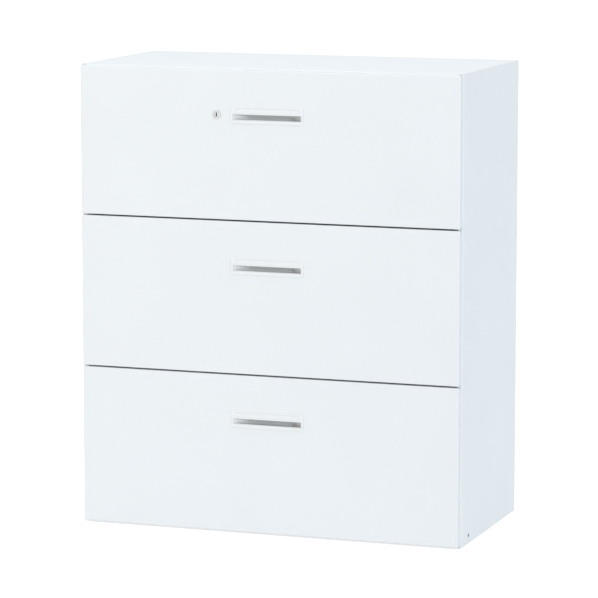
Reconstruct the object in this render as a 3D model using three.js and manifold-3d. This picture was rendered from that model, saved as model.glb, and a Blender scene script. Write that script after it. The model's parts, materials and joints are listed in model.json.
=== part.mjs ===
// Lateral filing cabinet: a folded sheet-steel case with three full-width drawers on telescopic rails,
// recessed pulls, and one key lock that holds every drawer through a lifting rod.
// Millimetres. +X is to the right of someone facing the drawers, +Y to the back, +Z up.
// The origin is on the floor under the middle of the cabinet.

import * as THREE from 'three';
import { mergeVertices } from 'three/addons/utils/BufferGeometryUtils.js';
import Module from 'manifold-3d';

// Overall size
const WIDTH = 900;
const DEPTH = 450;
const HEIGHT = 1050;

// Sheet metal, fits and roundness
const SHEET = 1;
const BEND = 1.3;
const LAND_BEND = 2.5;
const BEND_STEPS = 3;
const ROUND_STEPS = 24;
const FIT = 0.3;
const OVERCUT = 1;
const PROUD = 1.5;

// Case edges: a land that the drawer fronts overlap, all but the part that shows, and a stop behind it
const LAND = 12;
const LAND_SHOWN = 3.5;
const STAND_OFF = 0.7;
const DRAWER_GAP = 3.6;
const STOP_DEPTH = 25;
const SIDE_STOP_RETURN = 21;
const TOP_STOP_RETURN = 24;
const REAR_RETURN = 24;

// Screw that holds each side to the base
const SCREW_RADIUS = 4.5;
const SCREW_SETBACK = 58;
const SCREW_HEIGHT = 18;

// Base, levellers and posts
const BASE_HEIGHT = 34;
const BASE_FLANGE = 26;
const GUSSET_HEIGHT = 18;
const GUSSET_SIZE = 70;
const NUT_RADIUS = 9;
const NUT_DEPTH = 8;
const LEVELLER_INSET = 45;
const LEVELLER_PAD_RADIUS = 17;
const LEVELLER_PAD_EDGE = 3;
const LEVELLER_NECK_RADIUS = 8;
const LEVELLER_NECK_HEIGHT = 8;
const LEVELLER_STEM_RADIUS = 5;
const LEVELLER_CHAMFER = 1;
const POST_DEPTH = 30;
const POST_SHEET = 1.2;
const POST_FACE = 428.5;
const FRONT_POST_SETBACK = 39.5;
const REAR_POST_INSET = 15;

// Back panel beads
const BEAD_CENTRE = 225;
const BEAD_WIDTH = 90;
const BEAD_DEPTH = 4;
const BEAD_SLOPE = 8;

// Drawer fronts and trays
const FRONT_HEIGHTS = [334.4, 343.8, 358.6];
const FRONT_THICKNESS = 22;
const PAN_DEPTH = 13;
const PAN_RETURN = 10;
const FRONT_ROUND = 2;
const CORNER_NOTCH = 2.2;
const LINER_DEPTH = 11;
const LINER_CLEARANCE = 3;
const TRAY_HALF_WIDTH = 414.9;
const TRAY_DEPTH = 396;
const LOWEST_TRAY = 40;
const TRAY_PITCH = 348;
const TRAY_HEIGHT = 262;
const HEM_WIDTH = 12.5;
const HEM_LIP = 7.5;
const FILE_RAIL_HEIGHT = 14;
const FILE_RAIL_FOOT = 12;
const FILE_RAIL_SETBACK = 14;
const FILE_RAIL_SPACING = 350;
const FILE_RAIL_TAB = 10;

// Telescopic rails
const RAIL_SHEET = 1.2;
const RAIL_BEND = 1.6;
const RAIL_LENGTH = 390;
const RAIL_STEP_BACK = 10;
const RAIL_LEAD = 6;
const RAIL_RISE = 75;
const HOOK_HEIGHT = 14;
const HOOK_WIDTH = 3;
const HOOK_DROP = 6;

// Recessed pull
const PULL_WIDTH = 172;
const PULL_HEIGHT = 37;
const PULL_BELOW_EDGE = 81.2;
const PULL_CORNER = 3;
const PULL_OVERLAP = 3;
const PULL_BEVEL = 0.4;
const PULL_HOOD = 17;
const PULL_SLOT = 11.7;
const PULL_LIP_DROP = 2.5;
const PULL_SHALLOW = 8;
const PULL_DEPTH = 28;
const PULL_WALL = 2;
const PULL_TOE = 5;
const PULL_END_SLOPE = 30;
const PULL_EASE = 0.8;
const CARD_WIDTH = 150;
const CARD_HEIGHT = 11;
const CARD_RECESS = 0.6;

// Lock plug and housing
const LOCK_OFFSET = -119;
const LOCK_FLANGE_RADIUS = 10;
const LOCK_BARREL_RADIUS = 8.5;
const LOCK_CHAMFER = 0.6;
const LOCK_PLATE_REACH = 14;
const PLUG_RADIUS = 6;
const PLUG_PLAY = 0.1;
const PLUG_SETBACK = 0.4;
const TAIL_RADIUS = 3;
const KEYWAY_WIDTH = 2.6;
const KEYWAY_HEIGHT = 7.5;
const KEYWAY_DEPTH = 6;

// Lock rack and pinion
const GEAR_MODULE = 1;
const PINION_TEETH = 12;
const GEAR_SETBACK = 12.5;
const GEAR_WIDTH = 3.6;
const GEAR_BACKLASH = 0.3;
const FLANK_STEPS = 4;
const RACK_ADDENDUM = 0.8;
const DEDENDUM = 1.25;
const PRESSURE_ANGLE = THREE.MathUtils.degToRad(20);
const RACK_FIRST_TOOTH = -3;
const RACK_LAST_TOOTH = 5;

// Lock bolt, rod and catches, with reach measured to the left of the middle
const BOLT_TOP = 14;
const BOLT_REACH = 419;
const BOLT_SHANK = 2.5;
const BOLT_HEAD_REACH = 427.5;
const BOLT_HEAD_BASE = 4;
const BOLT_HEAD_SETBACK = 1.5;
const BOLT_HEAD_DEPTH = 8.5;
const BOLT_SLOPE = 8;
const SLOPE_PLAY = 0.5;
const ROD_INSET = 4;
const ROD_WIDTH = 8;
const ROD_THICKNESS = 3;
const ROD_FOOT = 60;
const ROD_HEAD_REACH = 425;
const ROD_HEAD_RISE = 8;
const ROD_HEAD_DEPTH = 6.5;
const ROD_TAB_REACH = 419;
const CATCH_RISE = 150;
const CATCH_HEIGHT = 10;
const CATCH_DEPTH = 4;
const CATCH_REACH = 424;
const CATCH_PLAY = 3.5;
const GUIDE_HEIGHT = 20;
const GUIDE_WALL = 0.8;
const GUIDE_PLAY = 0.4;

// Places worked out from the sizes above
const HALF_WIDTH = WIDTH / 2;
const FACE = -DEPTH / 2 + PROUD;
const PAN_BACK = FACE + PAN_DEPTH;
const CASE_FRONT = PAN_BACK + STAND_OFF;
const REAR = DEPTH / 2;
const INNER_WIDTH = HALF_WIDTH - SHEET - FIT;
const UNDER_TOP = HEIGHT - SHEET - FIT;
const FRONT_HALF_WIDTH = HALF_WIDTH - LAND_SHOWN;
const FRONT_TOP = HEIGHT - LAND_SHOWN;
const STOP_BACK = FACE + STOP_DEPTH + SHEET / 2;
const BASE_FRONT = STOP_BACK + FIT;
const BASE_REAR = REAR - SHEET - FIT;
const FRONT_BACK = FACE + FRONT_THICKNESS;
const TRAY_FRONT = FRONT_BACK + FIT;
const TRAY_REAR = TRAY_FRONT + TRAY_DEPTH;
const HEM_INSIDE = TRAY_HALF_WIDTH - SHEET - HEM_WIDTH;
const FRONT_POST = FACE + FRONT_POST_SETBACK;
const REAR_POST = REAR - REAR_POST_INSET - POST_DEPTH;
const RAIL_BACK = POST_FACE - FIT;
const BEZEL_FRONT = FACE - PROUD;
const LOCK_HEIGHT = FRONT_TOP - PULL_BELOW_EDGE - PULL_HEIGHT / 2;
const PLUG_BORE = PLUG_RADIUS + PLUG_PLAY;
const PITCH_RADIUS = GEAR_MODULE * PINION_TEETH / 2;
const LOCK_TRAVEL = PITCH_RADIUS * Math.PI / 2;
const GEAR_FRONT = FACE + GEAR_SETBACK;
const GEAR_BACK = GEAR_FRONT + GEAR_WIDTH;
const ROD_LEFT = HALF_WIDTH - ROD_INSET;
const ROD_RIGHT = ROD_LEFT - ROD_WIDTH;
const ROD_FRONT = STOP_BACK + BOLT_HEAD_SETBACK;
const ROD_BACK = ROD_FRONT + ROD_THICKNESS;
const CATCH_FRONT = ROD_BACK + CATCH_PLAY;

const SIDES = [['left', -1], ['right', 1]];

const DRAWERS = ['upper', 'middle', 'lower'].map((name, row, rows) => {
  const above = FRONT_HEIGHTS.slice(0, row).reduce((sum, height) => sum + height + DRAWER_GAP, 0);
  const top = FRONT_TOP - above;
  const bottom = top - FRONT_HEIGHTS[row];
  const pullTop = top - PULL_BELOW_EDGE;
  const trayBottom = LOWEST_TRAY + (rows.length - 1 - row) * TRAY_PITCH;
  const trayTop = trayBottom + TRAY_HEIGHT;
  const railHeight = trayBottom + RAIL_RISE;
  const catchHeight = trayBottom + CATCH_RISE;
  return { name, top, bottom, pullTop, trayBottom, trayTop, railHeight, catchHeight };
});

const LEVELLERS = ['front', 'rear'].flatMap((end) => SIDES.map(([side, sign]) => ({
  name: `${end}_${side}_leveller`,
  end,
  sign,
  x: sign * (INNER_WIDTH - LEVELLER_INSET),
  y: end === 'front' ? BASE_FRONT + LEVELLER_INSET : BASE_REAR - LEVELLER_INSET,
})));

const whitePaint = new THREE.MeshStandardMaterial({ color: 0xeef2f5, roughness: 0.5, metalness: 0 });
const greyPaint = new THREE.MeshStandardMaterial({ color: 0xd9dee2, roughness: 0.55, metalness: 0 });
const zincSteel = new THREE.MeshStandardMaterial({ color: 0xb9bdc1, roughness: 0.35, metalness: 0.9 });
const whitePlastic = new THREE.MeshStandardMaterial({ color: 0xf3f6f7, roughness: 0.4, metalness: 0 });
const nickel = new THREE.MeshStandardMaterial({ color: 0xd6d8d8, roughness: 0.25, metalness: 1 });
const blackPlastic = new THREE.MeshStandardMaterial({ color: 0x26282a, roughness: 0.6, metalness: 0 });

const wasm = await Module();
wasm.setup();

// Solids

function asSolid(geometry) {
  const bare = geometry.clone();
  bare.deleteAttribute('normal');
  bare.deleteAttribute('uv');
  const merged = mergeVertices(bare, 1e-4);
  return new wasm.Manifold(new wasm.Mesh({
    numProp: 3,
    vertProperties: new Float32Array(merged.attributes.position.array),
    triVerts: new Uint32Array(merged.index.array),
  }));
}

function asGeometry(solid) {
  const mesh = solid.getMesh();
  const geometry = new THREE.BufferGeometry();
  geometry.setAttribute('position', new THREE.Float32BufferAttribute(mesh.vertProperties, 3));
  geometry.setIndex([...mesh.triVerts]);
  geometry.computeVertexNormals();
  return geometry;
}

function join(first, ...rest) {
  return rest.reduce((whole, piece) => whole.add(piece), first);
}

function cut(first, ...rest) {
  return rest.reduce((whole, tool) => whole.subtract(tool), first);
}

function block(x0, x1, y0, y1, z0, z1) {
  const box = new THREE.BoxGeometry(x1 - x0, y1 - y0, z1 - z0);
  return asSolid(box.translate((x0 + x1) / 2, (y0 + y1) / 2, (z0 + z1) / 2));
}

// An outline pushed along one axis: drawn in x and y for z, in y and z for x, in x and z for y.
const RIGHT = new THREE.Vector3(1, 0, 0);
const BACK = new THREE.Vector3(0, 1, 0);
const FORWARD = new THREE.Vector3(0, -1, 0);
const UP = new THREE.Vector3(0, 0, 1);
const PUSH = {
  x: new THREE.Matrix4().makeBasis(BACK, UP, RIGHT),
  y: new THREE.Matrix4().makeBasis(RIGHT, UP, FORWARD),
  z: new THREE.Matrix4(),
};

function pushed(shape, axis, from, to, bevel = 0) {
  const geometry = new THREE.ExtrudeGeometry(shape, {
    depth: to - from - 2 * bevel,
    bevelEnabled: bevel > 0,
    bevelSize: bevel,
    bevelOffset: -bevel,
    bevelThickness: bevel,
    bevelSegments: BEND_STEPS,
    curveSegments: BEND_STEPS,
  });
  geometry.translate(0, 0, bevel).applyMatrix4(PUSH[axis]);
  const start = axis === 'y' ? to : from;
  return asSolid(geometry.translate(...['x', 'y', 'z'].map((name) => (name === axis ? start : 0))));
}

function turned(profile, axis) {
  const line = profile.map(([radius, along]) => new THREE.Vector2(radius, along));
  const lathe = new THREE.LatheGeometry(line, ROUND_STEPS);
  return asSolid(axis === 'z' ? lathe.rotateX(Math.PI / 2) : lathe);
}

// Outlines

function outline(points) {
  return new THREE.Shape(points.map(([a, b]) => new THREE.Vector2(a, b)));
}

function roundedOutline(points, radius) {
  const shape = new THREE.Shape();
  const corners = points.map(([a, b]) => new THREE.Vector2(a, b));
  corners.forEach((corner, i) => {
    const towards = (other) => other.clone().sub(corner).setLength(radius).add(corner);
    const start = towards(corners.at(i - 1));
    const end = towards(corners[(i + 1) % corners.length]);
    if (i === 0) shape.moveTo(start.x, start.y);
    else shape.lineTo(start.x, start.y);
    shape.quadraticCurveTo(corner.x, corner.y, end.x, end.y);
  });
  shape.closePath();
  return shape;
}

function rectangle(a0, a1, b0, b1) {
  return [[a0, b0], [a1, b0], [a1, b1], [a0, b1]];
}

function circle(a, b, radius) {
  const angles = Array.from({ length: ROUND_STEPS }, (_, step) => 2 * Math.PI * step / ROUND_STEPS);
  return outline(angles.map((angle) => [a + radius * Math.cos(angle), b + radius * Math.sin(angle)]));
}

// The section of a folded sheet whose middle line runs through the given corners, round at each bend. A corner
// may carry its own bend radius.
function foldedSheet(corners, thickness = SHEET, usualBend = BEND) {
  const points = corners.map(([a, b]) => new THREE.Vector2(a, b));
  const runs = points.slice(1).map((point, i) => point.clone().sub(points[i]).normalize());
  const leftOf = (run) => new THREE.Vector2(-run.y, run.x);
  const stations = [[points[0], leftOf(runs[0])]];
  for (let i = 1; i < runs.length; i += 1) {
    const bend = corners[i][2] ?? usualBend;
    const turn = Math.atan2(runs[i - 1].cross(runs[i]), runs[i - 1].dot(runs[i]));
    const inside = bend * Math.sign(turn);
    const lead = bend * Math.tan(Math.abs(turn) / 2);
    const pivot = points[i].clone().addScaledVector(runs[i - 1], -lead);
    pivot.addScaledVector(leftOf(runs[i - 1]), inside);
    for (let step = 0; step <= BEND_STEPS; step += 1) {
      const normal = leftOf(runs[i - 1]).rotateAround(new THREE.Vector2(), turn * step / BEND_STEPS);
      stations.push([pivot.clone().addScaledVector(normal, -inside), normal]);
    }
  }
  stations.push([points.at(-1), leftOf(runs.at(-1))]);
  const face = (offset) => stations.map(([point, normal]) => point.clone().addScaledVector(normal, offset));
  return new THREE.Shape([...face(thickness / 2), ...face(-thickness / 2).reverse()]);
}

function mirrored(points, sign) {
  return points.map(([x, ...rest]) => [sign * x, ...rest]);
}

function mirroredBlock(sign, x0, x1, ...rest) {
  return sign > 0 ? block(x0, x1, ...rest) : block(-x1, -x0, ...rest);
}

// Case

// Side: the front edge folds to the land, back along the opening, then in as the stop that the bolt hooks.
// One low hole takes the screw into the base.
function sidePanel(sign) {
  const skin = HALF_WIDTH - SHEET / 2;
  const openingWall = HALF_WIDTH - LAND + SHEET / 2;
  const section = foldedSheet(mirrored([
    [HALF_WIDTH - REAR_RETURN, REAR - SHEET / 2],
    [skin, REAR - SHEET / 2],
    [skin, CASE_FRONT + SHEET / 2, LAND_BEND],
    [openingWall, CASE_FRONT + SHEET / 2],
    [openingWall, FACE + STOP_DEPTH],
    [HALF_WIDTH - SIDE_STOP_RETURN, FACE + STOP_DEPTH],
  ], sign));
  const seatForTop = mirroredBlock(sign, 0, INNER_WIDTH, -DEPTH, DEPTH, UNDER_TOP, HEIGHT + OVERCUT);
  const through = [sign * INNER_WIDTH, sign * (HALF_WIDTH + OVERCUT)].sort((a, b) => a - b);
  const screwHole = pushed(circle(CASE_FRONT + SCREW_SETBACK, SCREW_HEIGHT, SCREW_RADIUS), 'x', ...through);
  return cut(pushed(section, 'z', 0, HEIGHT), seatForTop, screwHole);
}

// Top: the same folded edge at the front and a rear flange, notched where the sides' folds pass.
function topPanel() {
  const skin = HEIGHT - SHEET / 2;
  const openingWall = HEIGHT - LAND + SHEET / 2;
  const section = foldedSheet([
    [REAR - SHEET / 2, HEIGHT - REAR_RETURN],
    [REAR - SHEET / 2, skin],
    [CASE_FRONT + SHEET / 2, skin, LAND_BEND],
    [CASE_FRONT + SHEET / 2, openingWall],
    [FACE + STOP_DEPTH, openingWall],
    [FACE + STOP_DEPTH, HEIGHT - TOP_STOP_RETURN],
  ]);
  const below = [HEIGHT - 2 * TOP_STOP_RETURN, HEIGHT - SHEET - FIT / 3];
  const landEnd = HALF_WIDTH - LAND - FIT;
  const stopEnd = HALF_WIDTH - SIDE_STOP_RETURN - FIT;
  const rearEnd = HALF_WIDTH - REAR_RETURN - FIT;
  const stopFront = FACE + STOP_DEPTH - SHEET / 2 - FIT;
  const notches = SIDES.flatMap(([, sign]) => [
    mirroredBlock(sign, landEnd, HALF_WIDTH, -DEPTH, 0, ...below),
    mirroredBlock(sign, stopEnd, HALF_WIDTH, stopFront, 0, ...below),
    mirroredBlock(sign, rearEnd, HALF_WIDTH, 0, DEPTH, ...below),
  ]);
  return cut(pushed(section, 'x', -INNER_WIDTH, INNER_WIDTH), ...notches);
}

// Back: a sheet inside the rear flanges with two upright pressed beads.
function backPanel() {
  const plane = BASE_REAR - SHEET / 2;
  const bead = (centre) => [
    [centre - BEAD_WIDTH / 2, plane],
    [centre - BEAD_WIDTH / 2 + BEAD_SLOPE, plane - BEAD_DEPTH],
    [centre + BEAD_WIDTH / 2 - BEAD_SLOPE, plane - BEAD_DEPTH],
    [centre + BEAD_WIDTH / 2, plane],
  ];
  const ends = [-INNER_WIDTH, INNER_WIDTH].map((x) => [x, plane]);
  const section = foldedSheet([ends[0], ...bead(-BEAD_CENTRE), ...bead(BEAD_CENTRE), ends[1]]);
  return pushed(section, 'z', BASE_HEIGHT + FIT, UNDER_TOP);
}

// Base: a shallow pan with in-turned flanges to stand on and corner gussets with nuts for the levellers.
function basePan() {
  const inner = INNER_WIDTH - SHEET;
  const mouth = INNER_WIDTH - BASE_FLANGE;
  const pan = cut(
    block(-INNER_WIDTH, INNER_WIDTH, BASE_FRONT, BASE_REAR, 0, BASE_HEIGHT),
    block(-inner, inner, BASE_FRONT + SHEET, BASE_REAR - SHEET, SHEET, BASE_HEIGHT - SHEET),
    block(-mouth, mouth, BASE_FRONT + BASE_FLANGE, BASE_REAR - BASE_FLANGE, -OVERCUT, SHEET + OVERCUT),
  );
  const gussets = LEVELLERS.map(({ end, sign, x, y }) => {
    const wall = end === 'front' ? BASE_FRONT + SHEET / 2 : BASE_REAR - GUSSET_SIZE;
    const plate = mirroredBlock(
      sign, INNER_WIDTH - GUSSET_SIZE, INNER_WIDTH - SHEET / 2,
      wall, wall + GUSSET_SIZE - SHEET / 2, GUSSET_HEIGHT, GUSSET_HEIGHT + 2 * SHEET,
    );
    const nut = pushed(circle(x, y, NUT_RADIUS), 'z', GUSSET_HEIGHT - NUT_DEPTH, GUSSET_HEIGHT + SHEET);
    return plate.add(nut);
  });
  const bores = LEVELLERS.map(({ x, y }) => {
    const bore = circle(x, y, LEVELLER_STEM_RADIUS + FIT);
    return pushed(bore, 'z', SHEET, BASE_HEIGHT + OVERCUT);
  });
  return cut(join(pan, ...gussets), ...bores);
}

// Leveller: a flared foot moulded on a threaded stem, screwed fully in.
function leveller({ x, y }) {
  const stemTop = BASE_HEIGHT - 2 * SHEET;
  const foot = turned([
    [0, 0],
    [LEVELLER_PAD_RADIUS - LEVELLER_CHAMFER, 0],
    [LEVELLER_PAD_RADIUS, LEVELLER_CHAMFER],
    [LEVELLER_PAD_RADIUS, LEVELLER_PAD_EDGE],
    [LEVELLER_NECK_RADIUS, LEVELLER_NECK_HEIGHT - LEVELLER_CHAMFER],
    [LEVELLER_NECK_RADIUS, LEVELLER_NECK_HEIGHT],
    [LEVELLER_STEM_RADIUS, LEVELLER_NECK_HEIGHT],
    [LEVELLER_STEM_RADIUS, stemTop - LEVELLER_CHAMFER],
    [LEVELLER_STEM_RADIUS - LEVELLER_CHAMFER, stemTop],
    [0, stemTop],
  ], 'z');
  return foot.translate(x, y, 0);
}

// Post: an upright channel with a slot for each rail's hook.
function post(sign, front) {
  const web = POST_FACE + POST_SHEET / 2;
  const flangeEnd = HALF_WIDTH - SHEET - 2 * FIT;
  const section = foldedSheet(mirrored([
    [flangeEnd, front + POST_SHEET / 2],
    [web, front + POST_SHEET / 2],
    [web, front + POST_DEPTH - POST_SHEET / 2],
    [flangeEnd, front + POST_DEPTH - POST_SHEET / 2],
  ], sign), POST_SHEET, RAIL_BEND);
  const middle = front + POST_DEPTH / 2;
  const halfWidth = HOOK_WIDTH / 2 + FIT;
  const halfHeight = HOOK_HEIGHT / 2 + FIT;
  const slots = DRAWERS.map(({ railHeight }) => mirroredBlock(
    sign, POST_FACE - OVERCUT, POST_FACE + POST_SHEET + OVERCUT,
    middle - halfWidth, middle + halfWidth, railHeight - halfHeight, railHeight + halfHeight,
  ));
  return cut(pushed(section, 'z', BASE_HEIGHT + FIT, UNDER_TOP), ...slots);
}

// Telescopic rails: three nested rolled channels. Each upper half is drawn from its free edge to the
// middle of its web as reach from the post and rise above the rail's middle; the lower half mirrors it.
const RAIL_SECTIONS = {
  cabinet_rail: [[11.4, 18], [11.4, 22.4], [0.6, 22.4]],
  intermediate_rail: [[9.8, 16.2], [9.8, 20.8], [2.2, 20.8]],
  drawer_rail: [[8.2, 19.8], [8.2, 14.6], [12.4, 14.6]],
};

function rail(kind, sign, height, from, to) {
  const upper = RAIL_SECTIONS[kind];
  const lower = upper.map(([reach, rise]) => [reach, -rise]).reverse();
  const corners = [...upper, ...lower].map(([reach, rise]) => [sign * (RAIL_BACK - reach), height + rise]);
  return pushed(foldedSheet(corners, RAIL_SHEET, RAIL_BEND), 'y', from, to);
}

// Rail hook: stands out of the rail's back, passes the post's slot and drops behind the post's web.
function railHook(sign, height, postFront) {
  const middle = postFront + POST_DEPTH / 2;
  const root = RAIL_BACK - RAIL_SHEET / 2;
  const behind = POST_FACE + POST_SHEET + FIT;
  const tip = behind + 2 * SHEET;
  const high = height + HOOK_HEIGHT / 2;
  const low = height - HOOK_HEIGHT / 2;
  const profile = mirrored([
    [root, low], [behind, low], [behind, low - HOOK_DROP], [tip, low - HOOK_DROP], [tip, high], [root, high],
  ], sign);
  return pushed(outline(profile), 'y', middle - HOOK_WIDTH / 2, middle + HOOK_WIDTH / 2);
}

function cabinetRail(sign, height) {
  const hooks = [FRONT_POST, REAR_POST].map((front) => railHook(sign, height, front));
  return join(rail('cabinet_rail', sign, height, FRONT_POST, FRONT_POST + RAIL_LENGTH), ...hooks);
}

function intermediateRail(sign, height) {
  return rail('intermediate_rail', sign, height, FRONT_POST, FRONT_POST + RAIL_LENGTH - RAIL_STEP_BACK);
}

function drawerRail(sign, height) {
  const front = FRONT_POST - RAIL_LEAD;
  return rail('drawer_rail', sign, height, front, front + RAIL_LENGTH - RAIL_STEP_BACK);
}

// Drawers

// Front panel: a pan with rounded front edges, returned back edges and a small relief where its folds meet in
// each corner, with the pull's and the lock's holes.
function frontPanel({ name, top, bottom, pullTop }) {
  const face = outline(rectangle(-FRONT_HALF_WIDTH, FRONT_HALF_WIDTH, bottom, top));
  const inside = FRONT_HALF_WIDTH - SHEET;
  const mouth = FRONT_HALF_WIDTH - PAN_RETURN;
  const returned = PAN_BACK - SHEET;
  const pullHalf = PULL_WIDTH / 2 - PULL_OVERLAP;
  const through = [FACE - OVERCUT, FACE + SHEET + OVERCUT];
  const rows = [[bottom - OVERCUT, bottom + CORNER_NOTCH], [top - CORNER_NOTCH, top + OVERCUT]];
  const reliefs = SIDES.flatMap(([, sign]) => rows.map((row) => mirroredBlock(
    sign, FRONT_HALF_WIDTH - CORNER_NOTCH, HALF_WIDTH, FACE + FRONT_ROUND, PAN_BACK + OVERCUT, ...row,
  )));
  const shell = cut(
    pushed(face, 'y', FACE, PAN_BACK + 2 * FRONT_ROUND, FRONT_ROUND),
    block(-WIDTH, WIDTH, PAN_BACK, 0, bottom - OVERCUT, top + OVERCUT),
    block(-inside, inside, FACE + SHEET, returned, bottom + SHEET, top - SHEET),
    block(-mouth, mouth, returned - OVERCUT, PAN_BACK + OVERCUT, bottom + PAN_RETURN, top - PAN_RETURN),
    block(-pullHalf, pullHalf, ...through, pullTop - PULL_HEIGHT + PULL_OVERLAP, pullTop - PULL_OVERLAP),
    ...reliefs,
  );
  if (name !== 'upper') return shell;
  const lockHole = circle(LOCK_OFFSET, LOCK_HEIGHT, LOCK_BARREL_RADIUS + FIT);
  return shell.subtract(pushed(lockHole, 'y', ...through));
}

// Front liner: a pan that fills the front panel's open back, cut out for the pull and the bolt.
function frontLiner({ name, top, bottom, pullTop }) {
  const half = FRONT_HALF_WIDTH - PAN_RETURN - FIT;
  const low = bottom + PAN_RETURN + FIT;
  const high = top - PAN_RETURN - FIT;
  const rim = FRONT_BACK - LINER_DEPTH;
  const through = [rim, FRONT_BACK + OVERCUT];
  const pullHalf = PULL_WIDTH / 2;
  const liner = cut(
    block(-half, half, rim, FRONT_BACK, low, high),
    block(-half + SHEET, half - SHEET, rim - OVERCUT, FRONT_BACK - SHEET, low + SHEET, high - SHEET),
    block(-pullHalf, pullHalf, ...through, pullTop - PULL_HEIGHT, pullTop),
  );
  if (name !== 'upper') return liner;
  const boltSlot = block(
    -BOLT_REACH - LOCK_TRAVEL - LINER_CLEARANCE, -BOLT_REACH + BOLT_SHANK + LINER_CLEARANCE, ...through,
    LOCK_HEIGHT + BOLT_HEAD_BASE, LOCK_HEIGHT + BOLT_TOP + LINER_CLEARANCE,
  );
  return liner.subtract(boltSlot);
}

// Tray: bottom and sides folded from one sheet with safe top hems, and a catch that the lock rod holds.
function tray({ trayBottom, trayTop, catchHeight }) {
  const wall = TRAY_HALF_WIDTH - SHEET / 2;
  const lip = wall - HEM_WIDTH;
  const top = trayTop - SHEET / 2;
  const half = [[lip, top - HEM_LIP], [lip, top], [wall, top], [wall, trayBottom]];
  const section = foldedSheet([...mirrored(half, -1), ...half.toReversed()]);
  const rodCatch = block(
    -CATCH_REACH, -wall, CATCH_FRONT, CATCH_FRONT + CATCH_DEPTH, catchHeight, catchHeight + CATCH_HEIGHT,
  );
  return pushed(section, 'y', TRAY_FRONT, TRAY_REAR).add(rodCatch);
}

function trayBack({ trayBottom, trayTop }) {
  const half = TRAY_HALF_WIDTH - SHEET - FIT;
  const plane = TRAY_REAR - SHEET;
  const top = trayTop - SHEET / 2;
  const section = foldedSheet([
    [plane - HEM_WIDTH, top - HEM_LIP],
    [plane - HEM_WIDTH, top],
    [plane, top],
    [plane, trayBottom + SHEET / 2 + FIT],
  ]);
  const notchBottom = trayTop - HEM_LIP - SHEET - FIT;
  const notches = SIDES.map(([, sign]) => mirroredBlock(
    sign, HEM_INSIDE - FIT, WIDTH, 0, DEPTH, notchBottom, trayTop + OVERCUT,
  ));
  return cut(pushed(section, 'x', -half, half), ...notches);
}

// File rail: an angle across both side hems, its upright leg for hanging folders, a tab inside each hem.
function fileRail({ trayTop }, leg, sign) {
  const half = TRAY_HALF_WIDTH - 2 * SHEET;
  const foot = trayTop + FIT + SHEET / 2;
  const footEnd = leg + sign * FILE_RAIL_FOOT;
  const section = foldedSheet([[footEnd, foot], [leg, foot], [leg, foot + FILE_RAIL_HEIGHT]]);
  const span = [footEnd, leg + sign * 2 * SHEET].sort((a, b) => a - b);
  const tabOuter = HEM_INSIDE - FIT;
  const tabs = SIDES.map(([, side]) => mirroredBlock(
    side, tabOuter - 2 * SHEET, tabOuter, ...span, trayTop - FILE_RAIL_TAB, foot,
  ));
  return join(pushed(section, 'x', -half, half), ...tabs);
}

// Recessed pull: a bezel whose hood carries the index card, over a scoop with sloping back, ends and lip.

function scoopPlan(wall) {
  const mouth = PULL_WIDTH / 2 - PULL_OVERLAP - FIT - PULL_WALL + wall;
  const deep = mouth - PULL_END_SLOPE;
  const back = FACE + PULL_DEPTH + wall;
  return outline([
    [-mouth, -DEPTH], [mouth, -DEPTH], [mouth, FACE + PULL_WALL], [deep, back], [-deep, back],
    [-mouth, FACE + PULL_WALL],
  ]);
}

function pull({ pullTop }) {
  const half = PULL_WIDTH / 2;
  const slotTop = pullTop - PULL_HOOD;
  const slotBottom = slotTop - PULL_SLOT;
  const lip = slotBottom - PULL_LIP_DROP;
  const hoodBack = FACE + PULL_WALL;
  const back = FACE + PULL_DEPTH;
  const shallow = FACE + PULL_SHALLOW;
  const cupTop = pullTop - PULL_OVERLAP - FIT;
  const cupBottom = pullTop - PULL_HEIGHT + PULL_OVERLAP + FIT;
  const ceiling = cupTop - PULL_WALL;
  const floor = cupBottom + PULL_WALL;
  const outside = BEZEL_FRONT - PULL_DEPTH;
  const scoopProfile = roundedOutline([
    [outside, lip], [outside, slotTop], [hoodBack, slotTop], [hoodBack, ceiling], [shallow, ceiling],
    [back, floor + PULL_TOE], [back, floor], [hoodBack, floor], [hoodBack, slotBottom], [BEZEL_FRONT, lip],
  ], PULL_EASE);
  const cupProfile = outline([
    [FACE - PROUD / 2, cupTop], [shallow + PULL_WALL, cupTop],
    [back + PULL_WALL, floor + PULL_TOE + PULL_WALL],
    [back + PULL_WALL, cupBottom], [FACE - PROUD / 2, cupBottom],
  ]);
  const scoop = pushed(scoopProfile, 'x', -half, half)
    .intersect(pushed(scoopPlan(0), 'z', cupBottom, cupTop));
  const cup = pushed(cupProfile, 'x', -half, half)
    .intersect(pushed(scoopPlan(PULL_WALL), 'z', cupBottom - OVERCUT, cupTop + OVERCUT));
  const bezelOutline = roundedOutline(rectangle(-half, half, pullTop - PULL_HEIGHT, pullTop), PULL_CORNER);
  const bezel = pushed(bezelOutline, 'y', BEZEL_FRONT, FACE - FIT, PULL_BEVEL);
  const cardTop = pullTop - (PULL_HOOD - CARD_HEIGHT) / 2;
  const cardSeat = block(
    -CARD_WIDTH / 2, CARD_WIDTH / 2, outside, BEZEL_FRONT + CARD_RECESS, cardTop - CARD_HEIGHT, cardTop,
  );
  return cut(bezel.add(cup), scoop, cardSeat);
}

// Lock: the plug turns a pinion, the pinion draws a bolt bar to the left, and its slope lifts the rod.

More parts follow.
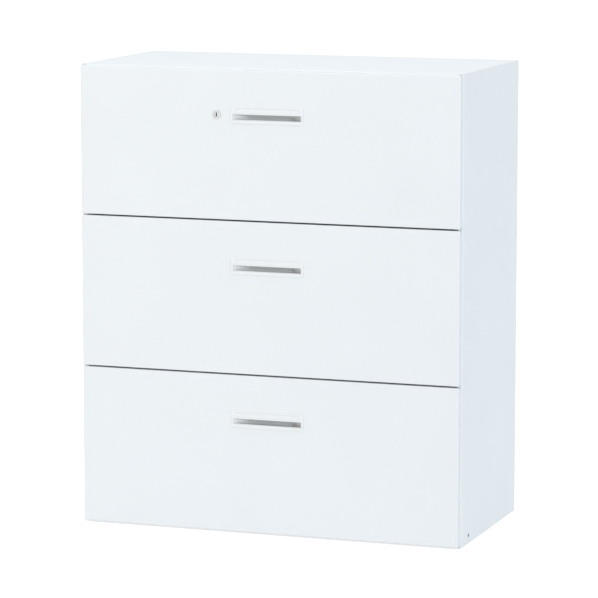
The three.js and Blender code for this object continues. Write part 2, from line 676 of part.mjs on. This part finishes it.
function lockHousing() {
  const barrelEnd = GEAR_FRONT - SHEET;
  const barrel = turned([
    [PLUG_BORE, BEZEL_FRONT],
    [LOCK_FLANGE_RADIUS - LOCK_CHAMFER, BEZEL_FRONT],
    [LOCK_FLANGE_RADIUS, BEZEL_FRONT + LOCK_CHAMFER],
    [LOCK_FLANGE_RADIUS, FACE - FIT],
    [LOCK_BARREL_RADIUS, FACE - FIT],
    [LOCK_BARREL_RADIUS, barrelEnd],
    [PLUG_BORE, barrelEnd],
    [PLUG_BORE, BEZEL_FRONT],
  ], 'y').translate(LOCK_OFFSET, 0, LOCK_HEIGHT);
  const span = [LOCK_OFFSET - LOCK_PLATE_REACH, LOCK_OFFSET + LOCK_PLATE_REACH];
  const boltTop = LOCK_HEIGHT + BOLT_TOP;
  const plateTop = boltTop + 2 * SHEET;
  const plateBack = GEAR_FRONT - FIT;
  const plate = block(...span, plateBack - 2 * SHEET, plateBack, LOCK_HEIGHT - LOCK_PLATE_REACH, plateTop);
  const guide = block(...span, plateBack - SHEET, GEAR_BACK, boltTop + FIT, plateTop);
  const bore = pushed(circle(LOCK_OFFSET, LOCK_HEIGHT, PLUG_BORE), 'y', FACE + SHEET, GEAR_BACK);
  return barrel.add(cut(plate.add(guide), bore));
}

function lockPlug() {
  const front = BEZEL_FRONT + PLUG_SETBACK;
  const shoulder = GEAR_FRONT - FIT;
  const tailEnd = GEAR_BACK + SHEET;
  const plug = turned([
    [0, front],
    [PLUG_RADIUS - PLUG_SETBACK, front],
    [PLUG_RADIUS, front + PLUG_SETBACK],
    [PLUG_RADIUS, shoulder],
    [TAIL_RADIUS, shoulder],
    [TAIL_RADIUS, tailEnd],
    [0, tailEnd],
  ], 'y').translate(LOCK_OFFSET, 0, LOCK_HEIGHT);
  const keyway = block(
    LOCK_OFFSET - KEYWAY_WIDTH / 2, LOCK_OFFSET + KEYWAY_WIDTH / 2, -DEPTH, BEZEL_FRONT + KEYWAY_DEPTH,
    LOCK_HEIGHT - KEYWAY_HEIGHT / 2, LOCK_HEIGHT + KEYWAY_HEIGHT / 2,
  );
  return plug.subtract(keyway);
}

// Involute pinion with one tooth pointing straight up, in mesh with the rack above it.
function pinion() {
  const base = PITCH_RADIUS * Math.cos(PRESSURE_ANGLE);
  const tip = PITCH_RADIUS + GEAR_MODULE;
  const root = PITCH_RADIUS - DEDENDUM * GEAR_MODULE;
  const involute = (angle) => Math.tan(angle) - angle;
  const halfAtPitch = Math.PI / (2 * PINION_TEETH) - GEAR_BACKLASH / (4 * PITCH_RADIUS);
  const flank = Array.from({ length: FLANK_STEPS + 1 }, (_, step) => {
    const radius = base + (tip - base) * step / FLANK_STEPS;
    const half = halfAtPitch + involute(PRESSURE_ANGLE) - involute(Math.acos(base / radius));
    return [radius, half];
  });
  flank.unshift([root, flank[0][1]]);
  const points = [];
  for (let tooth = 0; tooth < PINION_TEETH; tooth += 1) {
    const middle = Math.PI / 2 + tooth * 2 * Math.PI / PINION_TEETH;
    const at = (radius, angle) => [
      LOCK_OFFSET + radius * Math.cos(angle),
      LOCK_HEIGHT + radius * Math.sin(angle),
    ];
    points.push(...flank.map(([radius, half]) => at(radius, middle - half)));
    points.push(...flank.toReversed().map(([radius, half]) => at(radius, middle + half)));
  }
  const bore = circle(LOCK_OFFSET, LOCK_HEIGHT, TAIL_RADIUS + FIT);
  return pushed(outline(points), 'y', GEAR_FRONT, GEAR_BACK)
    .subtract(pushed(bore, 'y', GEAR_FRONT - OVERCUT, GEAR_BACK + OVERCUT));
}

// Bolt bar: rack teeth over the pinion, a long bar to the left, and a sloped head behind the side's stop.
function boltBar() {
  const pitch = Math.PI * GEAR_MODULE;
  const pitchLine = LOCK_HEIGHT + PITCH_RADIUS;
  const rootLine = pitchLine + DEDENDUM * GEAR_MODULE;
  const tipLine = pitchLine - RACK_ADDENDUM * GEAR_MODULE;
  const halfTooth = (height) => (pitch - GEAR_BACKLASH) / 4 + Math.tan(PRESSURE_ANGLE) * (height - pitchLine);
  const teeth = [];
  for (let tooth = RACK_FIRST_TOOTH; tooth <= RACK_LAST_TOOTH; tooth += 1) {
    const middle = LOCK_OFFSET + (tooth + 0.5) * pitch;
    teeth.push([middle - halfTooth(rootLine), rootLine], [middle - halfTooth(tipLine), tipLine]);
    teeth.push([middle + halfTooth(tipLine), tipLine], [middle + halfTooth(rootLine), rootLine]);
  }
  const top = LOCK_HEIGHT + BOLT_TOP;
  const end = LOCK_OFFSET + (RACK_LAST_TOOTH + 1.5) * pitch;
  const barOutline = outline([
    [-BOLT_REACH, rootLine], ...teeth, [end, rootLine], [end, top], [-BOLT_REACH, top],
  ]);
  const bar = pushed(barOutline, 'y', GEAR_FRONT, GEAR_BACK);
  const shankRight = -BOLT_REACH + BOLT_SHANK;
  const headBack = ROD_FRONT + BOLT_HEAD_DEPTH;
  const shank = block(-BOLT_REACH, shankRight, GEAR_FRONT, headBack, rootLine, top);
  const headBase = LOCK_HEIGHT + BOLT_HEAD_BASE;
  const head = outline([
    [-BOLT_HEAD_REACH, headBase],
    [shankRight, headBase],
    [shankRight, top],
    [-BOLT_HEAD_REACH + BOLT_SLOPE, top],
    [-BOLT_HEAD_REACH, top - BOLT_SLOPE],
  ]);
  return join(bar, shank, pushed(head, 'y', ROD_FRONT, headBack));
}

// Lock rod: an upright strip with a sloped head over the bolt's and one tab below each tray's catch.
function lockRod() {
  const slopeAt = (reach) => LOCK_HEIGHT + BOLT_TOP - BOLT_SLOPE + BOLT_HEAD_REACH + SLOPE_PLAY - reach;
  const top = LOCK_HEIGHT + BOLT_TOP + ROD_HEAD_RISE;
  const head = outline([
    [-ROD_LEFT, top],
    [-ROD_LEFT, slopeAt(ROD_RIGHT)],
    [-ROD_RIGHT, slopeAt(ROD_RIGHT)],
    [-ROD_HEAD_REACH, slopeAt(ROD_HEAD_REACH)],
    [-ROD_HEAD_REACH, top],
  ]);
  const strip = block(-ROD_LEFT, -ROD_RIGHT, ROD_FRONT, ROD_BACK, ROD_FOOT, top);
  const tabs = DRAWERS.map(({ catchHeight }) => block(
    -ROD_LEFT, -ROD_TAB_REACH, ROD_FRONT, ROD_BACK, catchHeight - SHEET - CATCH_HEIGHT, catchHeight - SHEET,
  ));
  return join(strip, pushed(head, 'y', ROD_FRONT, ROD_FRONT + ROD_HEAD_DEPTH), ...tabs);
}

// Rod guide: a closed loop on the front left post that the rod slides through.
function rodGuide(height) {
  const left = -ROD_LEFT - GUIDE_PLAY;
  const right = -ROD_RIGHT + GUIDE_PLAY;
  const front = ROD_FRONT - GUIDE_PLAY;
  const back = FRONT_POST - FIT;
  const top = height + GUIDE_HEIGHT;
  return cut(
    block(left - GUIDE_WALL, right + GUIDE_WALL, front - GUIDE_WALL, back, height, top),
    block(left, right, front, back - POST_SHEET, height - OVERCUT, top + OVERCUT),
  );
}

// Assembly

const cabinet = new THREE.Group();

function place(name, solid, material) {
  const mesh = new THREE.Mesh(asGeometry(solid), material);
  mesh.name = name;
  cabinet.add(mesh);
}

SIDES.forEach(([side, sign]) => place(`${side}_side_panel`, sidePanel(sign), whitePaint));
place('top_panel', topPanel(), whitePaint);
place('base_pan', basePan(), whitePaint);
place('back_panel', backPanel(), whitePaint);
LEVELLERS.forEach((spot) => place(spot.name, leveller(spot), blackPlastic));
for (const [side, sign] of SIDES) {
  place(`front_${side}_post`, post(sign, FRONT_POST), greyPaint);
  place(`rear_${side}_post`, post(sign, REAR_POST), greyPaint);
}

for (const drawer of DRAWERS) {
  const { name, railHeight } = drawer;
  for (const [side, sign] of SIDES) {
    place(`${name}_${side}_cabinet_rail`, cabinetRail(sign, railHeight), zincSteel);
    place(`${name}_${side}_intermediate_rail`, intermediateRail(sign, railHeight), zincSteel);
    place(`${name}_${side}_drawer_rail`, drawerRail(sign, railHeight), zincSteel);
  }
  place(`${name}_front_panel`, frontPanel(drawer), whitePaint);
  place(`${name}_front_liner`, frontLiner(drawer), whitePaint);
  place(`${name}_tray`, tray(drawer), whitePaint);
  place(`${name}_tray_back`, trayBack(drawer), whitePaint);
  place(`${name}_pull`, pull(drawer), whitePlastic);
  const frontLeg = TRAY_FRONT + FILE_RAIL_SETBACK;
  place(`${name}_front_file_rail`, fileRail(drawer, frontLeg, -1), zincSteel);
  place(`${name}_rear_file_rail`, fileRail(drawer, frontLeg + FILE_RAIL_SPACING, 1), zincSteel);
}

const [upperDrawer, , lowerDrawer] = DRAWERS;
place('lock_housing', lockHousing(), nickel);
place('lock_plug', lockPlug(), nickel);
place('lock_pinion', pinion(), zincSteel);
place('lock_bolt_bar', boltBar(), zincSteel);
place('lock_rod', lockRod(), zincSteel);
place('upper_rod_guide', rodGuide(upperDrawer.railHeight), zincSteel);
place('lower_rod_guide', rodGuide(lowerDrawer.railHeight), zincSteel);

export default cabinet;
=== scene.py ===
"""Looks for the lateral filing cabinet: materials, small trim, floor, light and camera. Metres, +Z up."""

import json
import math

import bmesh
import bpy
from mathutils import Matrix, Vector


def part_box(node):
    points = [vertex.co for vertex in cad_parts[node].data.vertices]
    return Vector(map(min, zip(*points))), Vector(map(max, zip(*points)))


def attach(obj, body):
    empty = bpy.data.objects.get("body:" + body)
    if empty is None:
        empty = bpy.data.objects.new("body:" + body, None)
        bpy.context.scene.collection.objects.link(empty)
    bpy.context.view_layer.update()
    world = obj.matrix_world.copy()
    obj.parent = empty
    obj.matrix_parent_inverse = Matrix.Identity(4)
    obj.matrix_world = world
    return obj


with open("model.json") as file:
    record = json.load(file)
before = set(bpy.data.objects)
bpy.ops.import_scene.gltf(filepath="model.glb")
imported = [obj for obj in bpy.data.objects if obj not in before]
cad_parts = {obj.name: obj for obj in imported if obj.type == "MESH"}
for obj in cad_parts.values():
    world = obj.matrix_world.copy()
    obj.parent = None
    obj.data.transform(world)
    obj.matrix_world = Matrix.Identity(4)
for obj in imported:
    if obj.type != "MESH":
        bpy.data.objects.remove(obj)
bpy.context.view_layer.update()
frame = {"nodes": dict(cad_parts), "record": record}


# Materials

# Rolling marks run from front to back, so their noise is stretched that way
ROLLED = (1.0, 0.04, 1.0)
EVEN = (1.0, 1.0, 1.0)

# Ends of the noise's middle range, over which a colour changes
TINT_START = 0.3
TINT_END = 0.7

# Where a pull's bezel ends and where its recess is fully inside, as shares of the pull's depth; the recess's
# painted shade starts at the first and is full at the second
RECESS_MOUTH = 0.12
RECESS_INSIDE = 0.3


def add_node(tree, kind, **settings):
    """A node with its sockets or properties set by name."""
    node = tree.nodes.new(kind)
    for key, value in settings.items():
        if key in node.inputs:
            node.inputs[key].default_value = value
        else:
            setattr(node, key, value)
    return node


def shade(color, factor):
    return tuple(min(1.0, channel * factor) for channel in color) + (1.0,)


def start_material(name):
    material = bpy.data.materials.new(name)
    material.use_nodes = True
    tree = material.node_tree
    tree.nodes.clear()
    output = tree.nodes.new("ShaderNodeOutputMaterial")
    shader = tree.nodes.new("ShaderNodeBsdfPrincipled")
    tree.links.new(shader.outputs["BSDF"], output.inputs["Surface"])
    place = tree.nodes.new("ShaderNodeTexCoord").outputs["Object"]
    return material, tree, shader, place


def add_noise(tree, place, scale, stretch=EVEN, detail=2.0):
    mapping = add_node(tree, "ShaderNodeMapping", Scale=stretch)
    tree.links.new(place, mapping.inputs["Vector"])
    noise = add_node(tree, "ShaderNodeTexNoise", Scale=scale, Detail=detail)
    tree.links.new(mapping.outputs["Vector"], noise.inputs["Vector"])
    return noise.outputs[0]


def remap(tree, value, limits):
    """The value carried from one range to another; limits are given by the range node's own names."""
    spread = add_node(tree, "ShaderNodeMapRange", **limits)
    tree.links.new(value, spread.inputs["Value"])
    return spread.outputs["Result"]


def tint(tree, shader, factor, color, darkest, lightest=1.0):
    """The colour, made darker or lighter by the shares given where the factor is low or high."""
    ramp = tree.nodes.new("ShaderNodeValToRGB")
    start, end = ramp.color_ramp.elements
    start.position = TINT_START
    start.color = shade(color, darkest)
    end.position = TINT_END
    end.color = shade(color, lightest)
    tree.links.new(factor, ramp.inputs["Fac"])
    tree.links.new(ramp.outputs["Color"], shader.inputs["Base Color"])


def vary_roughness(tree, shader, factor, smoothest, roughest):
    roughness = remap(tree, factor, {"To Min": smoothest, "To Max": roughest})
    tree.links.new(roughness, shader.inputs["Roughness"])


def roughen(tree, shader, height, relief, edge):
    """Fine relief over edges that catch the light as if rounded."""
    bevel = add_node(tree, "ShaderNodeBevel", Radius=edge, samples=4)
    bump = add_node(tree, "ShaderNodeBump", Strength=1.0, Distance=relief)
    tree.links.new(height, bump.inputs["Height"])
    tree.links.new(bevel.outputs["Normal"], bump.inputs["Normal"])
    tree.links.new(bump.outputs["Normal"], shader.inputs["Normal"])


def powder_coat(name, color, roughness, edge):
    """Baked paint with a fine orange-peel grain and a faint cloudiness."""
    material, tree, shader, place = start_material(name)
    cloud = add_noise(tree, place, scale=5.0, detail=3.0)
    grain = add_noise(tree, place, scale=900.0)
    tint(tree, shader, cloud, color, darkest=0.985)
    vary_roughness(tree, shader, grain, smoothest=roughness - 0.06, roughest=roughness + 0.06)
    roughen(tree, shader, grain, relief=0.00002, edge=edge)
    return material


def moulded_plastic(name, color, roughness, edge):
    """Plastic with the fine spark-eroded grain of its mould."""
    material, tree, shader, place = start_material(name)
    cloud = add_noise(tree, place, scale=40.0)
    spark = add_noise(tree, place, scale=2200.0)
    tint(tree, shader, cloud, color, darkest=0.985)
    vary_roughness(tree, shader, spark, smoothest=roughness - 0.05, roughest=roughness + 0.05)
    roughen(tree, shader, spark, relief=0.00001, edge=edge)
    return material


def plated_steel(name, color, roughness, edge, stretch=EVEN):
    """Bright plating with fine marks, stretched along a rolled piece, and a faint spangle."""
    material, tree, shader, place = start_material(name)
    shader.inputs["Metallic"].default_value = 1.0
    streak = add_noise(tree, place, scale=260.0, stretch=stretch)
    spangle = add_noise(tree, place, scale=55.0, detail=4.0)
    tint(tree, shader, spangle, color, darkest=0.9, lightest=1.06)
    vary_roughness(tree, shader, streak, smoothest=roughness - 0.1, roughest=roughness + 0.12)
    roughen(tree, shader, streak, relief=0.000008, edge=edge)
    return material


def paint_shade_over(material, amount, shade_color):
    """Painted shade over the colour that the material has so far, from none at nought to full at one."""
    tree = material.node_tree
    shader = tree.nodes["Principled BSDF"]
    unshaded = shader.inputs["Base Color"].links[0].from_socket
    mix = add_node(tree, "ShaderNodeMixRGB", Color2=(*shade_color, 1.0))
    tree.links.new(amount, mix.inputs["Fac"])
    tree.links.new(unshaded, mix.inputs["Color1"])
    tree.links.new(mix.outputs["Color"], shader.inputs["Base Color"])


def paint_crevice_shade(material, reach, sharpness, shade_color):
    """Painted shade where surfaces close in on each other, as in a keyway or along a bezel's edge: the colour
    darkens with shelter.
    """
    tree = material.node_tree
    nearby = add_node(tree, "ShaderNodeAmbientOcclusion", samples=8, Distance=reach)
    openness = add_node(tree, "ShaderNodeMath", operation="POWER")
    openness.inputs[1].default_value = sharpness
    tree.links.new(nearby.outputs["AO"], openness.inputs[0])
    shelter = add_node(tree, "ShaderNodeMath", operation="SUBTRACT")
    shelter.inputs[0].default_value = 1.0
    tree.links.new(openness.outputs[0], shelter.inputs[1])
    paint_shade_over(material, shelter.outputs[0], shade_color)


def paint_recess_shade(material, unshaded_height, darkest_height, shade_color):
    """Painted shade in a recess, darker towards its floor where the recess lies deeper; heights are shares of
    the piece's own.
    """
    tree = material.node_tree
    place = tree.nodes.new("ShaderNodeSeparateXYZ")
    tree.links.new(tree.nodes.new("ShaderNodeTexCoord").outputs["Generated"], place.inputs["Vector"])
    low = remap(tree, place.outputs["Z"], {"From Min": unshaded_height, "From Max": darkest_height})
    inside = remap(tree, place.outputs["Y"], {"From Min": RECESS_MOUTH, "From Max": RECESS_INSIDE})
    amount = add_node(tree, "ShaderNodeMath", operation="MULTIPLY")
    tree.links.new(low, amount.inputs[0])
    tree.links.new(inside, amount.inputs[1])
    paint_shade_over(material, amount.outputs[0], shade_color)


case_paint = powder_coat("case_paint", color=(0.86, 0.895, 0.92), roughness=0.36, edge=0.0008)
front_paint = powder_coat("front_paint", color=(0.86, 0.895, 0.92), roughness=0.4, edge=0.0006)
tray_paint = powder_coat("tray_paint", color=(0.83, 0.865, 0.89), roughness=0.45, edge=0.0006)
post_paint = powder_coat("post_paint", color=(0.66, 0.69, 0.71), roughness=0.5, edge=0.0006)
zinc_steel = plated_steel("zinc_steel", color=(0.62, 0.64, 0.66), roughness=0.32, edge=0.0004, stretch=ROLLED)
pull_plastic = moulded_plastic("pull_plastic", color=(0.88, 0.905, 0.92), roughness=0.4, edge=0.0006)
lock_nickel = plated_steel("lock_nickel", color=(0.82, 0.83, 0.83), roughness=0.22, edge=0.0003)
black_plastic = moulded_plastic("black_plastic", color=(0.03, 0.031, 0.034), roughness=0.55, edge=0.0006)
dark_steel = plated_steel("dark_screw", color=(0.06, 0.06, 0.065), roughness=0.4, edge=0.0002)
grey_rubber = moulded_plastic("grey_rubber", color=(0.16, 0.165, 0.17), roughness=0.75, edge=0.0003)

# Painted shade: the lock's keyway and the pull's recess and bezel edges are darkened where sheltered, and the
# pull's recess is darker towards its floor
paint_crevice_shade(lock_nickel, reach=0.004, sharpness=2.5, shade_color=(0.02, 0.02, 0.02))
paint_crevice_shade(pull_plastic, reach=0.003, sharpness=1.2, shade_color=(0.6, 0.62, 0.63))
paint_recess_shade(pull_plastic, unshaded_height=0.38, darkest_height=0.2, shade_color=(0.62, 0.635, 0.64))

SLOT_MATERIALS = {
    "case_paint": case_paint,
    "front_paint": front_paint,
    "tray_paint": tray_paint,
    "post_paint": post_paint,
    "zinc_steel": zinc_steel,
    "pull_plastic": pull_plastic,
    "lock_nickel": lock_nickel,
    "black_plastic": black_plastic,
}
for subpart in frame["record"]["subparts"]:
    mesh = frame["nodes"][subpart["node"]].data
    mesh.materials.clear()
    mesh.materials.append(SLOT_MATERIALS[subpart["material_slot"]])


# Small trim

def add_piece(name, body, material, shape):
    mesh = bpy.data.meshes.new(name)
    shape.to_mesh(mesh)
    shape.free()
    piece = bpy.data.objects.new(name, mesh)
    bpy.context.scene.collection.objects.link(piece)
    mesh.materials.append(material)
    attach(piece, body)
    return piece


def turned(profile, steps=24):
    """A solid of revolution about +Z from (radius, height) stations that start and end on the axis."""
    shape = bmesh.new()
    rings = []
    for radius, height in profile:
        if radius == 0:
            rings.append([shape.verts.new((0, 0, height))])
            continue
        ring = []
        for step in range(steps):
            angle = 2 * math.pi * step / steps
            ring.append(shape.verts.new((radius * math.cos(angle), radius * math.sin(angle), height)))
        rings.append(ring)
    for lower, upper in zip(rings, rings[1:]):
        for step in range(steps):
            after = (step + 1) % steps
            corners = [lower[step % len(lower)], lower[after % len(lower)]]
            corners += [upper[after % len(upper)], upper[step % len(upper)]]
            # A ring on the axis is one point, which a face takes once
            shape.faces.new(dict.fromkeys(corners))
    bmesh.ops.recalc_face_normals(shape, faces=shape.faces)
    for face in shape.faces:
        face.smooth = True
    return shape


def cross_screw(radius, depth, arm, half_arm, recess, steps=32):
    """A low screw head whose top is at z = 0, with a cross recess and a rim that falls away."""
    shape = bmesh.new()
    angles = [2 * math.pi * step / steps for step in range(steps)]
    rim = [shape.verts.new((radius * math.cos(a), radius * math.sin(a), -recess / 2)) for a in angles]
    foot = [shape.verts.new((v.co.x, v.co.y, -depth)) for v in rim]
    corners = [(arm, half_arm), (half_arm, half_arm), (half_arm, arm)]
    quarters = [Matrix.Rotation(math.pi / 2 * turn, 3, "Z") for turn in range(4)]
    cross = [shape.verts.new(quarter @ Vector((x, y, 0))) for quarter in quarters for x, y in corners]
    pit = [shape.verts.new((v.co.x, v.co.y, -recess)) for v in cross]
    edges = []
    for loop in (rim, cross):
        edges += [shape.edges.new((loop[i - 1], loop[i])) for i in range(len(loop))]
    bmesh.ops.triangle_fill(shape, edges=edges, use_beauty=True)
    for upper, lower in ((rim, foot), (cross, pit)):
        for i in range(len(upper)):
            shape.faces.new((upper[i - 1], upper[i], lower[i], lower[i - 1]))
    shape.faces.new(foot)
    shape.faces.new(pit)
    bmesh.ops.recalc_face_normals(shape, faces=shape.faces)
    return shape


# Rubber buttons on each drawer front's back, near its edges and ends, that meet the case's lands
BUMPER_PROFILE = [(0, 0), (0.0035, 0), (0.0035, 0.0003), (0.003, 0.00045), (0.0018, 0.0005), (0, 0.0005)]
BUMPER_EDGE = 0.0043
BUMPER_END = 0.03
BUMPER_GAP = 0.0001
BACKWARD = Matrix.Rotation(math.radians(-90), 4, "X")

for level in ("upper", "middle", "lower"):
    low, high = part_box(f"{level}_front_panel")
    sides = {"left": low.x + BUMPER_EDGE, "right": high.x - BUMPER_EDGE}
    ends = {"bottom": low.z + BUMPER_END, "top": high.z - BUMPER_END}
    for side, across in sides.items():
        for end, height in ends.items():
            button = turned(BUMPER_PROFILE)
            button.transform(Matrix.Translation((across, high.y + BUMPER_GAP, height)) @ BACKWARD)
            piece = add_piece(f"{level}_{side}_{end}_bumper", f"{level}_drawer", grey_rubber, button)

# A screw, sunk a little, in each side panel's low hole behind its front edge
SCREW_SINK = 0.00015
SCREW_SETBACK = 0.058
SCREW_HEIGHT = 0.018

for side, sign in (("left", -1), ("right", 1)):
    low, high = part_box(f"{side}_side_panel")
    outside = low.x if side == "left" else high.x
    place = (outside - sign * SCREW_SINK, low.y + SCREW_SETBACK, low.z + SCREW_HEIGHT)
    head = cross_screw(radius=0.0042, depth=0.0011, arm=0.0024, half_arm=0.0005, recess=0.0008)
    head.transform(Matrix.Translation(place) @ Matrix.Rotation(sign * math.pi / 2, 4, "Y"))
    piece = add_piece(f"{side}_side_screw", "cabinet", dark_steel, head)


# Floor, light and camera

# The floor lights the object with its own colour, and is seen with a weaker one over a glow
FLOOR_HALF = 60
FLOOR_DROP = 0.0002
FLOOR_COLOR = (0.7, 0.7, 0.7)
FLOOR_SEEN_COLOR = (0.42, 0.42, 0.42)
FLOOR_SEEN_GLOW = 0.75
WHITE = (1.0, 1.0, 1.0)

# Camera fitted to the photograph, which is a square
FRAME_PIXELS = 598
FOCAL_PIXELS = 3319
SENSOR_MM = 36
CAMERA_PLACE = (2.5085, -7.0973, 1.6224)
CAMERA_YAW = math.radians(19.493)
CAMERA_PITCH = math.radians(8.431)
CAMERA_REACH = 200


def seen_directly(tree):
    """One for camera, mirror and see-through rays, nought for the rays that light the object."""
    path = tree.nodes.new("ShaderNodeLightPath")
    total = path.outputs["Is Camera Ray"]
    for kind in ("Is Glossy Ray", "Is Transmission Ray"):
        add = add_node(tree, "ShaderNodeMath", operation="ADD", use_clamp=True)
        tree.links.new(total, add.inputs[0])
        tree.links.new(path.outputs[kind], add.inputs[1])
        total = add.outputs[0]
    return total


def floor_material():
    """Pale floor that looks white where it is open and still takes the cabinet's shadow."""
    material, tree, shader, place = start_material("floor")
    cloud = add_noise(tree, place, scale=0.6)
    tint(tree, shader, cloud, FLOOR_COLOR, darkest=0.995)
    shader.inputs["Roughness"].default_value = 0.9
    shader.inputs["Specular IOR Level"].default_value = 0.1
    shadowed = add_node(tree, "ShaderNodeBsdfDiffuse", Color=(*FLOOR_SEEN_COLOR, 1.0))
    glow = add_node(tree, "ShaderNodeEmission", Strength=FLOOR_SEEN_GLOW)
    both = tree.nodes.new("ShaderNodeAddShader")
    tree.links.new(shadowed.outputs[0], both.inputs[0])
    tree.links.new(glow.outputs[0], both.inputs[1])
    chosen = tree.nodes.new("ShaderNodeMixShader")
    tree.links.new(seen_directly(tree), chosen.inputs[0])
    tree.links.new(shader.outputs[0], chosen.inputs[1])
    tree.links.new(both.outputs[0], chosen.inputs[2])
    tree.links.new(chosen.outputs[0], tree.get_output_node("ALL").inputs["Surface"])
    return material


def add_floor():
    shape = bmesh.new()
    bmesh.ops.create_grid(shape, x_segments=1, y_segments=1, size=FLOOR_HALF)
    mesh = bpy.data.meshes.new("floor")
    shape.to_mesh(mesh)
    shape.free()
    floor = bpy.data.objects.new("floor", mesh)
    floor.location.z = -FLOOR_DROP
    bpy.context.scene.collection.objects.link(floor)
    mesh.materials.append(floor_material())


def add_softbox(name, place, target, width, height, power, color):
    """A wide lamp without glare that faces its target; power is in watts."""
    lamp = bpy.data.lights.new(name, "AREA")
    lamp.shape = "RECTANGLE"
    lamp.size = width
    lamp.size_y = height
    lamp.energy = power
    lamp.color = color
    softbox = bpy.data.objects.new(name, lamp)
    softbox.location = place
    softbox.rotation_euler = (Vector(target) - Vector(place)).to_track_quat("-Z", "Y").to_euler()
    softbox.visible_glossy = False
    bpy.context.scene.collection.objects.link(softbox)


def add_sun(name, azimuth, elevation, spread, strength, color):
    """A far, wide lamp without glare; angles are in degrees, azimuth from the front towards the right."""
    lamp = bpy.data.lights.new(name, "SUN")
    lamp.energy = strength
    lamp.color = color
    lamp.angle = math.radians(spread)
    sun = bpy.data.objects.new(name, lamp)
    sun.rotation_euler = (math.radians(90 - elevation), 0, math.radians(azimuth))
    sun.visible_glossy = False
    bpy.context.scene.collection.objects.link(sun)


def add_world(color):
    """Even studio light of the given colour, behind which the camera sees white."""
    world = bpy.data.worlds.new("studio")
    world.use_nodes = True
    tree = world.node_tree
    sky = add_node(tree, "ShaderNodeMixRGB", Color1=(*color, 1.0), Color2=(*WHITE, 1.0))
    tree.links.new(seen_directly(tree), sky.inputs["Fac"])
    tree.links.new(sky.outputs["Color"], tree.nodes["Background"].inputs["Color"])
    bpy.context.scene.world = world


def add_camera():
    lens = bpy.data.cameras.new("camera")
    lens.sensor_width = SENSOR_MM
    lens.lens = FOCAL_PIXELS / FRAME_PIXELS * SENSOR_MM
    lens.clip_end = CAMERA_REACH
    camera = bpy.data.objects.new("camera", lens)
    camera.location = CAMERA_PLACE
    camera.rotation_euler = (math.pi / 2 - CAMERA_PITCH, 0, CAMERA_YAW)
    bpy.context.scene.collection.objects.link(camera)
    bpy.context.scene.camera = camera


add_floor()
add_world(color=(0.595, 0.63, 0.655))
add_sun("key", azimuth=45, elevation=10, spread=20, strength=1.08, color=(0.93, 0.965, 1.0))
add_sun("back", azimuth=225, elevation=12, spread=30, strength=0.85, color=WHITE)
add_softbox(
    "fill", place=(-2.6, -4.6, 1.8), target=(0, 0, 0.5), width=3.5, height=3.0,
    power=37.5, color=(1.0, 0.75, 0.55))
add_softbox(
    "top", place=(0, -1.2, 4.6), target=(0, 0, 1), width=3.0, height=3.0,
    power=35.5, color=WHITE)
add_camera()
bpy.context.scene.view_settings.view_transform = "Standard"
